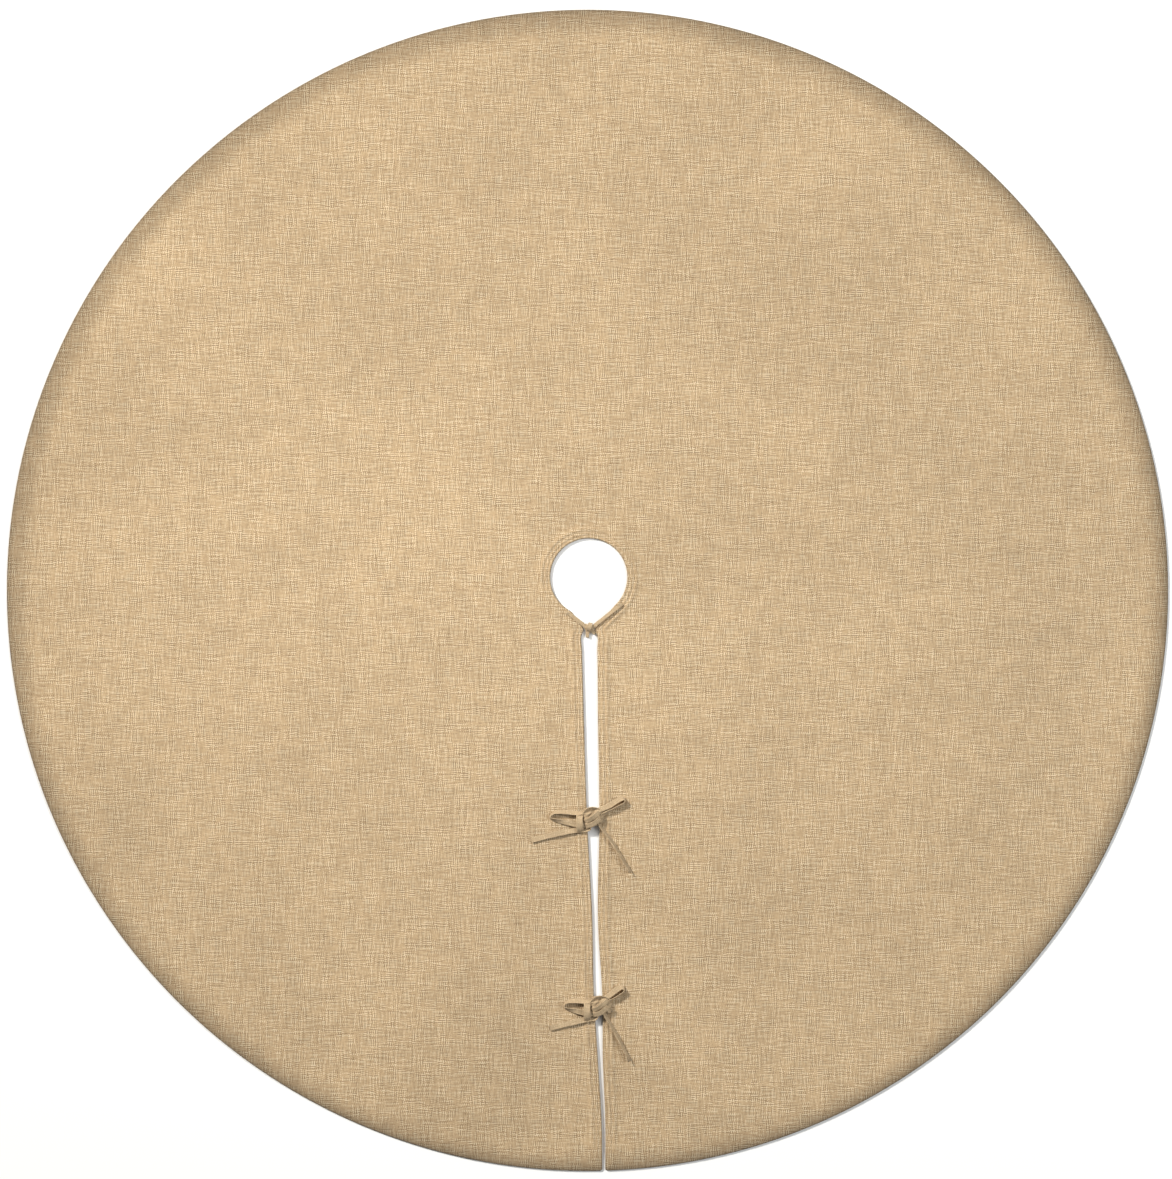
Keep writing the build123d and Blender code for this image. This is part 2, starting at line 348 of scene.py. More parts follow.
def finish_piece(name, mesh, place, material, slot, *nodes):
    """The piece's object, with where each vertex lies on the flat cloth kept for its weave."""
    mesh.materials.append(material)
    kept = mesh.attributes.new(PLACE_ATTRIBUTE, "FLOAT_VECTOR", "POINT")
    kept.data.foreach_set("vector", np.asarray(place, np.float32).ravel())
    piece = bpy.data.objects.new(name, mesh)
    bpy.context.scene.collection.objects.link(piece)
    if nodes:
        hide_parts(*nodes)
    return piece


def reach_along(line):
    """Distance of each point from the start of a polyline."""
    return np.concatenate([[0], np.cumsum(np.linalg.norm(np.diff(line, axis=0), axis=1))])


def at_reach(line, reach):
    """Points of a polyline at these distances from its start."""
    own = reach_along(line)
    return np.column_stack([np.interp(reach, own, line[:, k]) for k in range(line.shape[1])])


def centre_line(route):
    """Points along the smooth curve whose control points are the route's, read from its spline."""
    curve = bpy.data.curves.new("route", "CURVE")
    curve.dimensions = "3D"
    spline = curve.splines.new("NURBS")
    spline.points.add(len(route) - 1)
    for point, place in zip(spline.points, route):
        point.co = (*place, 1)
    spline.order_u = 3
    spline.use_endpoint_u = True
    spline.resolution_u = 8
    holder = bpy.data.objects.new("route", curve)
    mesh = bpy.data.meshes.new_from_object(holder)
    line = np.array([vertex.co for vertex in mesh.vertices])
    bpy.data.objects.remove(holder)
    bpy.data.meshes.remove(mesh)
    bpy.data.curves.remove(curve)
    return line


SECTION_POINTS = 20
# A ribbon's stretch counts as upright where its level share of the direction is under this.
UPRIGHT = 0.25


def ribbon_sides(line, route, rolls):
    """Across and outward directions along a ribbon. A roll of 0 lies flat and 90 stands on edge."""
    heading = np.gradient(line, axis=0)
    heading /= np.linalg.norm(heading, axis=1)[:, None]
    level = np.cross((0, 0, 1), heading)
    slope = np.linalg.norm(level, axis=1)
    # A stretch that stands upright borrows its side from the level stretch next to it.
    steady = np.flatnonzero(slope > UPRIGHT)
    nearest = steady[np.abs(np.arange(len(line))[:, None] - steady).argmin(axis=1)]
    level = level[nearest]
    level -= heading * (level * heading).sum(axis=1)[:, None]
    level /= np.linalg.norm(level, axis=1)[:, None]
    stations = [np.linalg.norm(line - np.array(point), axis=1).argmin() for point in route]
    roll = np.radians(np.interp(np.arange(len(line)), np.maximum.accumulate(stations), rolls))[:, None]
    across = level * np.cos(roll) + np.cross(heading, level) * np.sin(roll)
    return across, np.cross(heading, across)


def ribbon(name, route, rolls, width, thickness, slot="tie_string", nodes=(), seed=1):
    """A flat strip of folded cloth along a route: its piece and its centre line."""
    line = centre_line(route)
    across, outward = ribbon_sides(line, route, rolls)
    run = reach_along(line)
    angles = np.arange(SECTION_POINTS) * 2 * math.pi / SECTION_POINTS
    # A rounded oblong section: u runs across the strip and v through it.
    u = np.sign(np.cos(angles)) * np.abs(np.cos(angles)) ** 0.6
    v = np.sign(np.sin(angles)) * np.abs(np.sin(angles)) ** 0.75
    # The folded edges stand thicker than the middle.
    v *= 0.62 + 0.55 * np.abs(u) ** 3
    # The width varies a little and the faces ripple, differently for every seed.
    vary = 1 + 0.05 * np.sin(run / (4.1 * MM) + seed) + 0.03 * np.sin(run / (1.7 * MM) + 2 * seed)
    ripple = 0.12 * thickness * np.sin(run / (2.3 * MM) + 3 * seed)
    points = (
        line[:, None]
        + across[:, None] * (u * width / 2)[None, :, None] * vary[:, None, None]
        + outward[:, None] * (v * thickness / 2)[None, :, None]
        + outward[:, None] * (ripple[:, None] * u)[:, :, None]
    )
    place = np.stack(np.broadcast_arrays(u * width / 2, run[:, None], 0.0 * v), axis=-1)
    count = len(line)
    rings = np.arange(count * SECTION_POINTS).reshape(count, SECTION_POINTS)
    after = np.roll(rings, -1, axis=1)
    faces = np.stack([rings[:-1], after[:-1], after[1:], rings[1:]], axis=-1).reshape(-1, 4).tolist()
    faces += [rings[0][::-1].tolist(), rings[-1].tolist()]
    mesh = bpy.data.meshes.new(name)
    mesh.from_pydata(points.reshape(-1, 3).tolist(), [], faces)
    mesh.shade_smooth()
    piece = finish_piece(name, mesh, place.reshape(-1, 3), STRING, slot, *nodes)
    return piece, line


# ---------------------------------------------------------------- strings

# Routes and lengths as in the CAD, in millimetres; z is above the floor. The bows' points are about
# their knot's centre. The rolls, one for each point, are in degrees.
TACK = TACK_TOP / MM
NECK_WIDTH, BOW_WIDTH = 3.9 * MM, 5.8 * MM
NECK_THICKNESS, BOW_THICKNESS = 1.3 * MM, 1.35 * MM
STRINGS = {
    "neck_string_left": {
        "knot": (0, 0),
        "length": 40.3,
        "route": [
            (-22.9, -22.4, 4.3), (-20.8, -23.8, 4.6), (-18.6, -25.3, 4.9), (-15.2, -27.6, 5.0),
            (-9.8, -31.8, 4.9), (-4.4, -36.0, 4.7), (-0.6, -39.8, 4.0), (0.1, -44.6, 2.6), (-0.3, -49.6, 1.8),
        ],
        "rolls": [0, 4, 8, 12, 14, 16, 22, 20, 10],
    },
    "neck_string_right": {
        "knot": (0, 0),
        "length": 51.3,
        "route": [
            (36.2, -14.2, 4.3), (34.2, -15.7, 4.6), (32.0, -17.3, 4.9), (28.2, -20.2, 5.0),
            (22.0, -25.4, 5.0), (14.8, -30.9, 4.9), (8.6, -35.8, 4.8), (4.6, -39.6, 4.0), (5.0, -43.0, 2.8),
            (8.2, -45.4, 2.2),
        ],
        "rolls": [0, 4, 8, 10, 10, 10, 8, 0, -10, -10],
    },
    "middle_string_left": {
        "knot": (4.7, -238.4),
        "length": 169.3,
        "route": [
            (-8.8, 0.6, TACK), (-8.8, 0.6, 7.4), (-5.0, 1.0, 9.0), (-1.2, 3.0, 9.0), (-1.4, 6.4, 8.6),
            (-7.0, 5.8, 7.6), (-16.5, 4.8, 6.2), (-28.0, 6.0, 5.4), (-37.2, 6.0, 5.1), (-43.6, 3.2, 5.2),
            (-44.4, -0.6, 5.2), (-38.0, -2.8, 4.9), (-27.0, -4.8, 5.2), (-16.0, -7.2, 6.4),
            (-8.6, -7.8, 7.8), (-3.5, -7.4, 8.2), (-1.8, -9.8, 6.6), (-3.5, -12.2, 5.1), (-9.0, -12.2, 5.0),
            (-18.0, -13.2, 5.0), (-31.0, -15.6, 4.4), (-46.0, -19.2, 4.1), (-64.0, -23.6, 4.0),
        ],
        "rolls": [0, 0, 20, 42, 48, 46, 44, 46, 58, 80, 84, 48, 14, -4, 10, 60, 70, 40, 15, 8, 5, 3, 0],
    },
    "middle_string_right": {
        "knot": (4.7, -238.4),
        "length": 160.9,
        "route": [
            (11.4, -3.0, TACK), (11.4, -3.0, 7.4), (8.0, -2.0, 9.2), (4.6, 1.4, 9.4), (4.0, 6.2, 9.0),
            (7.4, 8.6, 8.4), (13.4, 10.4, 6.8), (20.6, 14.2, 5.5), (26.6, 18.0, 5.1), (31.6, 20.4, 5.2),
            (35.0, 19.2, 5.3), (34.6, 16.2, 5.3), (29.8, 13.2, 5.3), (23.0, 9.8, 5.3), (15.8, 5.8, 5.6),
            (9.6, 2.4, 5.8), (6.6, -2.8, 5.8), (8.6, -9.0, 5.8), (15.0, -17.4, 5.7), (24.0, -29.6, 5.6),
            (31.8, -43.0, 5.7), (40.4, -57.2, 5.8),
        ],
        "rolls": [0, 0, -20, -30, -30, -22, -14, -10, -14, -45, -75, -85, -82, -76, -65, -50, -50, -58, -62,
                  -64, -64, -60],
    },
    "lower_string_left": {
        "knot": (12.6, -436.0),
        "length": 143.8,
        "route": [
            (-8.8, 0.6, TACK), (-8.8, 0.6, 7.4), (-5.0, 1.0, 9.0), (-1.6, 3.0, 9.0), (-1.8, 6.2, 8.6),
            (-7.0, 5.8, 7.6), (-15.4, 4.8, 6.2), (-24.8, 5.6, 5.4), (-32.4, 5.2, 5.1), (-37.2, 2.4, 5.2),
            (-37.4, -1.4, 5.2), (-31.8, -3.6, 4.9), (-23.0, -5.4, 5.2), (-14.6, -7.4, 6.4),
            (-8.6, -7.6, 8.2), (-3.9, -7.6, 8.2), (-2.2, -10.0, 6.6), (-3.9, -12.4, 5.1), (-9.0, -13.0, 5.0),
            (-17.0, -14.6, 5.0), (-27.0, -17.0, 4.4), (-39.0, -19.8, 4.1), (-52.0, -23.4, 4.0),
        ],
        "rolls": [0, 0, 20, 42, 48, 46, 44, 46, 58, 80, 84, 48, 14, -4, 10, 60, 70, 40, 15, 8, 5, 3, 0],
    },
    "lower_string_right": {
        "knot": (12.6, -436.0),
        "length": 144.5,
        "route": [
            (12.4, -4.6, TACK), (12.4, -4.6, 7.4), (8.4, -3.2, 9.4), (4.4, 0.6, 9.4), (2.6, 5.4, 9.0),
            (4.6, 8.2, 8.4), (9.4, 10.8, 6.8), (14.2, 14.6, 5.6), (18.8, 18.2, 5.2), (23.4, 20.0, 5.2),
            (26.4, 18.2, 5.3), (25.6, 15.0, 5.3), (20.6, 11.8, 5.3), (13.8, 7.6, 5.5), (7.4, 4.0, 5.8),
            (3.8, -0.8, 5.8), (4.4, -7.0, 5.8), (8.6, -13.8, 5.8), (14.4, -24.4, 5.7), (21.4, -36.0, 5.6),
            (31.8, -57.6, 5.8),
        ],
        "rolls": [0, 0, -20, -30, -30, -22, -14, -10, -14, -45, -75, -85, -82, -76, -65, -50, -50, -58, -62,
                  -64, -60],
    },
}

# The knot's own turns over the strings, as short strips: route about the knot, rolls, width, side.
BOW_WRAPS = {
    "core_rising": (
        [(-9.6, -8.2, 4.4), (-7.6, -6.4, 7.6), (-1.0, -1.6, 9.4), (5.8, 2.8, 8.8), (9.6, 5.0, 6.2),
         (10.4, 5.6, 4.2)],
        [0, 0, 0, 0, 0, 0], 9.5, "left",
    ),
    "core_falling": (
        [(-8.6, 7.4, 4.2), (-6.8, 5.8, 6.4), (-1.0, 1.6, 7.6), (5.4, -3.4, 7.4), (8.2, -5.6, 5.8),
         (9.0, -6.4, 4.2)],
        [0, 0, 0, 0, 0, 0], 8.0, "right",
    ),
    "core_level": (
        [(-8.6, 5.4, 4.2), (-5.6, 6.4, 6.2), (0.6, 7.2, 7.0), (6.2, 6.2, 6.4), (9.4, 4.4, 4.2)],
        [0, 0, 0, 0, 0], 7.4, "left",
    ),
    "collar": (
        [(-12.6, 3.4, 4.6), (-12.9, 2.4, 9.6), (-13.2, -3.0, 11.4), (-13.0, -9.0, 10.2), (-12.4, -13.6, 7.4),
         (-11.8, -15.0, 4.4)],
        [0, 4, 6, 4, 0, 0], 7.4, "left",
    ),
    "turn_low": (
        [(-9.0, -9.6, 5.2), (-5.4, -8.6, 9.6), (0.6, -6.6, 11.4), (6.0, -2.8, 10.8), (9.6, 1.0, 7.6),
         (10.6, 2.2, 4.6)],
        [0, 18, 26, 20, 8, 0], 5.6, "left",
    ),
    "turn_middle": (
        [(-9.8, -4.4, 5.4), (-7.4, -3.6, 9.8), (-2.0, -1.4, 12.2), (3.8, 2.8, 12.0), (8.2, 6.6, 8.6),
         (9.6, 8.4, 5.0)],
        [0, 20, 28, 22, 8, 0], 5.2, "right",
    ),
    "turn_high": (
        [(-9.6, 0.4, 5.2), (-8.8, 4.6, 8.2), (-5.0, 9.2, 9.8), (1.4, 10.8, 9.8), (7.0, 9.0, 8.2),
         (10.2, 5.4, 5.2)],
        [40, 45, 50, 50, 40, 30], 4.4, "left",
    ),
}
NECK_WRAPS = {
    "turn_over": (
        [(3.2, -34.4, 2.8), (3.1, -34.8, 5.6), (2.5, -37.2, 7.5), (1.7, -40.2, 7.1), (1.0, -42.6, 4.6),
         (0.8, -43.2, 2.6)],
        [0, 0, 0, 0, 0, 0], 4.4, "left",
    ),
    "turn_across": (
        [(-2.4, -37.0, 2.6), (-2.0, -37.1, 4.8), (1.2, -38.2, 6.3), (4.8, -39.4, 5.6), (6.8, -40.2, 3.2)],
        [0, 10, 12, 10, 0], 4.0, "right",
    ),
}


def in_metres(points, knot=(0, 0)):
    """A route given in millimetres about a knot, in metres about the origin."""
    return [((x + knot[0]) * MM, (y + knot[1]) * MM, z * MM) for x, y, z in points]


def make_wraps(tie, knot, wraps):
    """The turns of one knot, each riding with the side whose string makes it."""
    pieces = {"left": [], "right": []}
    for number, (turn, (points, rolls, width, side)) in enumerate(wraps.items()):
        name = f"{tie}_knot_{turn}"
        piece, _ = ribbon(name, in_metres(points, knot), rolls, width * MM, BOW_THICKNESS, seed=number)
        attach(piece, f"front_{side}")
        pieces[side].append(piece)
    return pieces


def make_strings():
    """Three ties: a short one at the neck and two bows."""
    for tie in ("neck", "middle", "lower"):
        neck = tie == "neck"
        knot = STRINGS[f"{tie}_string_left"]["knot"]
        wraps = make_wraps(tie, knot, NECK_WRAPS if neck else BOW_WRAPS)
        for side in SIDES:
            name = f"{tie}_string_{side}"
            facts = STRINGS[name]
            width, thickness = (NECK_WIDTH, NECK_THICKNESS) if neck else (BOW_WIDTH, BOW_THICKNESS)
            route = in_metres(facts["route"], knot)
            piece, line = ribbon(
                f"{tie}_tie_{side}", route, facts["rolls"], width, thickness, nodes=[name], seed=len(name)
            )
            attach(piece, f"front_{side}")


# ---------------------------------------------------------------- outline of the cloth

# Slit edges from the neck corner to just past the rim, in millimetres.
SLIT_EDGES = {
    "left": [
        (-3.4, -41), (-6.2, -47), (-5.8, -62), (-3.7, -136), (-0.6, -235), (5.2, -350), (6.6, -420),
        (11.0, -493), (15.0, -560), (15.6, -613),
    ],
    "right": [
        (6.8, -41), (9.8, -46.5), (10.2, -62), (11.0, -136), (12.4, -240), (11.0, -350), (15.4, -425),
        (16.0, -493), (18.6, -560), (18.6, -613),
    ],
}
SLIT_MIDDLE_X = 9 * MM
# Where the neck hole's arc ends on each side, and how far that turns across the strip along the edge.
FUNNEL_ANGLE = {"left": math.radians(243), "right": math.radians(313 - 360)}
FUNNEL_SWING = {"left": math.radians(-20), "right": math.radians(10)}
AWAY = {"left": -1, "right": 1}
# Behind the hole each cloth is two meshes, one for each side, that meet along a pressed crease.
CREASE_X = 10 * MM
STORAGE_CREASE_Y = 0.4 * MM
# Corners are rounded from this far away on either side.
CORNER_CUT = 3 * MM
CORNER_POINTS = 5
# The strip of quads along every edge; triangles fill the cloth inside it.
STRIP_WIDTH = 28 * MM
# Places of points across the folding band, from the fold line.
FOLD_OFFSETS = np.concatenate([[-12, -10], np.arange(-9, 1.6, 0.5), [2.5, 4, 6, 9, 12]]) * MM
# How many points stand above and below that band on each arc, and on each straighter stretch.
NECK_COUNTS = (16, 9)
RIM_COUNTS = (238, 238)
FUNNEL_COUNT = 7
SLIT_COUNT = 142


def slit_x(side, y):
    """Where the slit's edge on that side is, at each y."""
    xs, ys = np.array(SLIT_EDGES[side][::-1]).T * MM
    slopes = np.gradient(xs, ys)
    i = np.clip(np.searchsorted(ys, y) - 1, 0, len(ys) - 2)
    span = ys[i + 1] - ys[i]
    t = (y - ys[i]) / span
    return (
        xs[i] * (1 + 2 * t) * (1 - t) ** 2 + slopes[i] * span * t * (1 - t) ** 2
        + xs[i + 1] * t * t * (3 - 2 * t) + slopes[i + 1] * span * t * t * (t - 1)
    )


def arc_points(side, centre, radius, top, bottom, counts):
    """Points down an arc, level with those of every other radius where the cloth folds."""
    band = np.arcsin((FOLD_Y + FOLD_OFFSETS[::-1] - centre[1]) / radius)
    if side == "left":
        band = math.pi - band
    above = np.linspace(top, band[0], counts[0] + 1)[:-1]
    below = np.linspace(band[-1], bottom, counts[1] + 1)[1:]
    angles = np.concatenate([above, band, below])
    return np.column_stack([centre[0] + radius * np.cos(angles), centre[1] + radius * np.sin(angles)])


def rounded(stretches, corners):
    """Stretches of an edge joined by a smooth turn at each corner between them."""
    t = np.linspace(0, 1, CORNER_POINTS + 2)[1:-1, None]
    points = [stretches[0]]
    for corner, before, after in zip(corners, stretches, stretches[1:]):
        points.append((1 - t) ** 2 * before[-1] + 2 * t * (1 - t) * corner + t**2 * after[0])
        points.append(after)
    return np.concatenate(points)


def chain(side, inset):
    """One side's edge drawn in by inset, from behind the neck hole round by the slit and the rim."""
    neck, rim, away = HOLE_RADIUS + inset, RIM_RADIUS - inset, AWAY[side]
    stop = FUNNEL_ANGLE[side] + FUNNEL_SWING[side] * inset / STRIP_WIDTH
    neck_end = np.array([HOLE_X + neck * math.cos(stop), HOLE_Y + neck * math.sin(stop)])
    top_y = SLIT_EDGES[side][0][1] * MM
    top = np.array([slit_x(side, top_y) + away * inset, top_y])
    foot_x = slit_x(side, -rim) + away * inset
    foot = np.array([foot_x, -math.sqrt(rim**2 - foot_x**2)])
    foot_angle = math.atan2(foot[1], foot[0]) + (2 * math.pi if side == "left" else 0)

    neck_top = math.acos((CREASE_X - HOLE_X) / neck)
    neck_bottom = stop + away * CORNER_CUT / neck
    neck_arc = arc_points(side, (HOLE_X, HOLE_Y), neck, neck_top, neck_bottom, NECK_COUNTS)
    span = np.linalg.norm(top - neck_end)
    reach = np.linspace(CORNER_CUT, span - CORNER_CUT, FUNNEL_COUNT)[:, None]
    funnel = neck_end + (top - neck_end) * reach / span
    slit_ys = np.linspace(top[1] - CORNER_CUT, foot[1] + CORNER_CUT, SLIT_COUNT)
    slit = np.column_stack([slit_x(side, slit_ys) + away * inset, slit_ys])
    rim_top = math.acos(CREASE_X / rim)
    rim_bottom = foot_angle + away * CORNER_CUT / rim
    rim_arc = arc_points(side, (0, 0), rim, rim_top, rim_bottom, RIM_COUNTS)[::-1]
    return rounded([neck_arc, funnel, slit, rim_arc], [neck_end, top, foot])


# ---------------------------------------------------------------- height of the cloth

# The slack cloth lies in long shallow waves with flat ground between them.
waves = np.random.default_rng(11)
WAVE_COUNT = 16
WAVE_HEADINGS = waves.uniform(0, math.pi, WAVE_COUNT)
WAVE_LENGTHS = waves.uniform(0.16, 0.46, WAVE_COUNT)
WAVE_PHASES = waves.uniform(0, 2 * math.pi, WAVE_COUNT)
WAVE_SLOPE = 0.011
WAVE_RISE = 1.1 * MM


def lift(place):
    """How far the lining stands off the floor: slack left by the folds, none near the slit and hole."""
    x, y = place[:, 0], place[:, 1]
    total = np.zeros(len(place))
    for heading, length, phase in zip(WAVE_HEADINGS, WAVE_LENGTHS, WAVE_PHASES):
        run = (x * math.cos(heading) + y * math.sin(heading)) * 2 * math.pi / length
        total += WAVE_SLOPE * length / (2 * math.pi) * np.sin(run + phase)
    total = np.maximum(total + WAVE_RISE, 0)
    from_hole = np.hypot(x - HOLE_X, y - HOLE_Y) - HOLE_RADIUS
    from_slit = np.where(y < HOLE_Y, np.abs(x - SLIT_MIDDLE_X), np.inf)
    from_rim = RIM_RADIUS - np.hypot(x, y)
    calm = smoothstep(15 * MM, 110 * MM, np.minimum(from_hole, from_slit))
    calm *= 0.12 + 0.88 * smoothstep(0, 60 * MM, from_rim)
    # The cloth lies down where it folds.
    calm *= 0.25 + 0.75 * smoothstep(6 * MM, 40 * MM, np.abs(y - FOLD_Y))
    return total * calm


def crease(place):
    """Shallow pressed lines left by storage: one behind the hole and one from side to side."""
    x, y = place[:, 0], place[:, 1]

    def line(offset, width):
        return np.exp(-((offset / width) ** 2))

    behind = smoothstep(60 * MM, 110 * MM, y) * (0.75 + 0.25 * np.sin(y / 0.09))
    across = smoothstep(55 * MM, 100 * MM, np.abs(x)) * np.where(x < 0, 1.0, 0.6)
    upright = line(x - CREASE_X, 3.2 * MM) * -0.34 + line(x - CREASE_X - 9 * MM, 6 * MM) * 0.22
    level_offset = y - STORAGE_CREASE_Y
    level = line(level_offset, 3.2 * MM) * -0.30 + line(level_offset - 9 * MM, 6 * MM) * 0.2
    return (upright * behind + level * across) * MM


def pucker(place, inset, rim_distance):
    """Small dimples along the topstitched welt."""
    run = place[:, 0] + place[:, 1]
    dimples = np.sin(run / (2.1 * MM)) + 0.8 * np.sin(run / (3.7 * MM) + 1) + np.sin(run / (6.9 * MM) + 2)
    band = smoothstep(1 * MM, 4 * MM, inset) * (1 - smoothstep(9 * MM, 15 * MM, inset))
    return 0.06 * MM * dimples * band * smoothstep(12 * MM, 40 * MM, rim_distance)


# Sections of the cloths' edges: inset from the edge and height, from the underside round to the top.
FACE_UNDER = [(STRIP_WIDTH / MM, 0.9), (12, 0.9), (3, 0.9), (0.7, 0.92), (0.25, 1.05), (0.0, 1.5)]
FACE_OVER = [
    (0.12, 2.1), (0.5, 2.85), (1.1, 3.3), (1.7, 3.3), (2.6, 2.5), (3.6, 2.9), (4.8, 3.5), (6.0, 3.3),
    (7.0, 2.4), (8.0, 3.1), (9.2, 3.5), (10.6, 3.3), (11.8, 2.7), (13.2, 2.3), (15.2, 2.15), (18, 2.1),
    (22.5, 2.1), (STRIP_WIDTH / MM, 2.1),
]
# The rim has no topstitch, so its upper side is a plain roll: the heights at the same insets.
RIM_OVER = [1.7, 2.05, 2.3, 2.5, 2.7, 2.9, 3.08, 3.2, 3.28, 3.34, 3.38, 3.38, 3.34, 3.24, 3.02, 2.7, 2.3, 2.1]
LINING_UNDER = [(STRIP_WIDTH / MM, 0.0), (12, 0.0), (3, 0.0), (0.6, 0.02), (0.15, 0.2), (0.0, 0.45)]
LINING_OVER = [(0.15, 0.7), (0.6, 0.86), (3, 0.9), (12, 0.9), (STRIP_WIDTH / MM, 0.9)]

# Rows of points along the edges: inset, height at the neck and slit, height at the rim.
FACE_ROWS = [(inset, z, z) for inset, z in FACE_UNDER]
FACE_ROWS += [(inset, z, rim) for (inset, z), rim in zip(FACE_OVER, RIM_OVER)]
LINING_ROWS = [(inset, z, z) for inset, z in LINING_UNDER + LINING_OVER]


# ---------------------------------------------------------------- cloth meshes

GRID = 8 * MM
# The grid keeps this far from the strips, and each crease's points this far from the strips' ends.
GRID_MARGIN = 2.5 * MM
SEAM_MARGIN = 3 * MM
SLIT_TOP_Y = -44 * MM
# The rim's section gives way to the slit's over this distance from the rim.
RIM_BLEND = 30 * MM


def grid_lines(fine_about):
    """Places of the grid lines across the disc, close together about one place."""
    lines = np.arange(-RIM_RADIUS, RIM_RADIUS, GRID)
    lines = lines[np.abs(lines - fine_about) > FOLD_OFFSETS[-1] + GRID / 2]
    return np.sort(np.concatenate([lines, fine_about + FOLD_OFFSETS]))


def fill_inside(border, side):
    """Points and triangles over the ground inside a border, and which border point each point is."""
    xs, ys = grid_lines(CREASE_X), grid_lines(FOLD_Y)
    xs = xs[xs < CREASE_X] if side == "left" else xs[xs > CREASE_X]
    grid = np.array([(x, y) for x in xs for y in ys])
    from_hole = np.hypot(grid[:, 0] - HOLE_X, grid[:, 1] - HOLE_Y)
    from_slit = AWAY[side] * (grid[:, 0] - slit_x(side, np.clip(grid[:, 1], -RIM_RADIUS, SLIT_TOP_Y)))
    margin = STRIP_WIDTH + GRID_MARGIN
    keep = (np.hypot(grid[:, 0], grid[:, 1]) < RIM_RADIUS - margin) & (from_hole > HOLE_RADIUS + margin)
    keep &= (grid[:, 1] > HOLE_Y) | (from_slit > margin)
    keep &= np.abs(grid[:, 0] - CREASE_X) > 0.5 * MM
    inside = [Vector(point) for point in np.concatenate([border, grid[keep]])]
    loop = list(range(len(border)))
    made = geometry.delaunay_2d_cdt(inside, [], [loop], 1, 1e-7)
    return np.array(made[0]), made[2], made[3]


def crease_points(low, high):
    """Points down the crease from the rim's strip to the neck's."""
    ys = grid_lines(FOLD_Y)
    ys = ys[(ys > low + SEAM_MARGIN) & (ys < high - SEAM_MARGIN)]
    return np.column_stack([np.full(len(ys), CREASE_X), ys])[::-1]


def shell(name, side, rows, raise_by):
    """A closed cloth over one side: strips of quads along its edges and triangles between them."""
    chains = {inset: chain(side, inset * MM) for inset in {row[0] for row in rows}}
    inner = chains[STRIP_WIDTH / MM]
    border = np.concatenate([inner, crease_points(inner[0][1], inner[-1][1])])
    filled, faces, origins = fill_inside(border, side)
    stations = len(inner)

    places, heights, insets = [], [], []
    for inset, z, rim_z in rows:
        flat = chains[inset]
        from_rim = RIM_RADIUS - np.hypot(flat[:, 0], flat[:, 1])
        rim_share = 1 - smoothstep(0, 1, np.clip((from_rim - inset * MM) / RIM_BLEND, 0, 1))
        places.append(flat)
        heights.append((z + (rim_z - z) * rim_share) * MM)
        insets.append(np.full(stations, inset * MM))

    # The filled ground's own points come after the rows, first those of the top and then the bottom's.
    # Where it meets the strips it shares the points of the last row and of the first.
    on_strip = [next((source for source in sources if source < stations), None) for sources in origins]
    own = [index for index, station in enumerate(on_strip) if station is None]
    own_number = {index: number for number, index in enumerate(own)}
    for z in (rows[-1][1] * MM, rows[0][1] * MM):
        places.append(filled[own])
        heights.append(np.full(len(own), z))
        insets.append(np.full(len(own), STRIP_WIDTH))

    def vertex_of(index, row_start, ground_start):
        station = on_strip[index]
        return ground_start + own_number[index] if station is None else row_start + station

    rows_end = stations * len(rows)
    tops = [vertex_of(index, rows_end - stations, rows_end) for index in range(len(filled))]
    bottoms = [vertex_of(index, 0, rows_end + len(own)) for index in range(len(filled))]

    place, inset = np.concatenate(places), np.concatenate(insets)
    height = raise_by(place, np.concatenate(heights), inset)

    all_faces = []
    step = np.arange(stations - 1)
    for start in np.arange(len(rows) - 1) * stations:
        here, after = start + step, start + stations + step
        all_faces += np.column_stack([here, here + 1, after + 1, after]).tolist()
    all_faces += [[tops[corner] for corner in face] for face in faces]
    all_faces += [[bottoms[corner] for corner in reversed(face)] for face in faces]

    mesh = bpy.data.meshes.new(name)
    mesh.from_pydata(np.column_stack([place, height]).tolist(), [], all_faces)
    bm = bmesh.new()
    bm.from_mesh(mesh)
    # A wall closes the thickness along the crease where the two halves meet.
    open_edges = [edge for edge in bm.edges if edge.is_boundary]
    wall = bmesh.ops.holes_fill(bm, edges=open_edges, sides=0)["faces"]
    for edge in open_edges:
        edge.smooth = False
    bmesh.ops.triangulate(bm, faces=wall)
    bmesh.ops.recalc_face_normals(bm, faces=bm.faces)
    for face in bm.faces:
        face.smooth = True
    bm.to_mesh(mesh)
    bm.free()
    kept = mesh.attributes.new(INSET_ATTRIBUTE, "FLOAT", "POINT")
    kept.data.foreach_set("value", inset.astype(np.float32))
    return mesh, np.column_stack([place, height])


# Heights between which a point of the face cloth passes from its under side to its upper side.
UPPER_SIDE = (1.2 * MM, 1.9 * MM)


def face_height(place, height, inset):
    """The face cloth lies on the lining, with creases and puckers on its upper side only."""
    upper = smoothstep(*UPPER_SIDE, height)
    rim_distance = RIM_RADIUS - np.hypot(place[:, 0], place[:, 1])
    return height + lift(place) + upper * (crease(place) + pucker(place, inset, rim_distance))


def lining_height(place, height, inset):
    """The lining follows the floor and its own slack."""
    return height + lift(place)


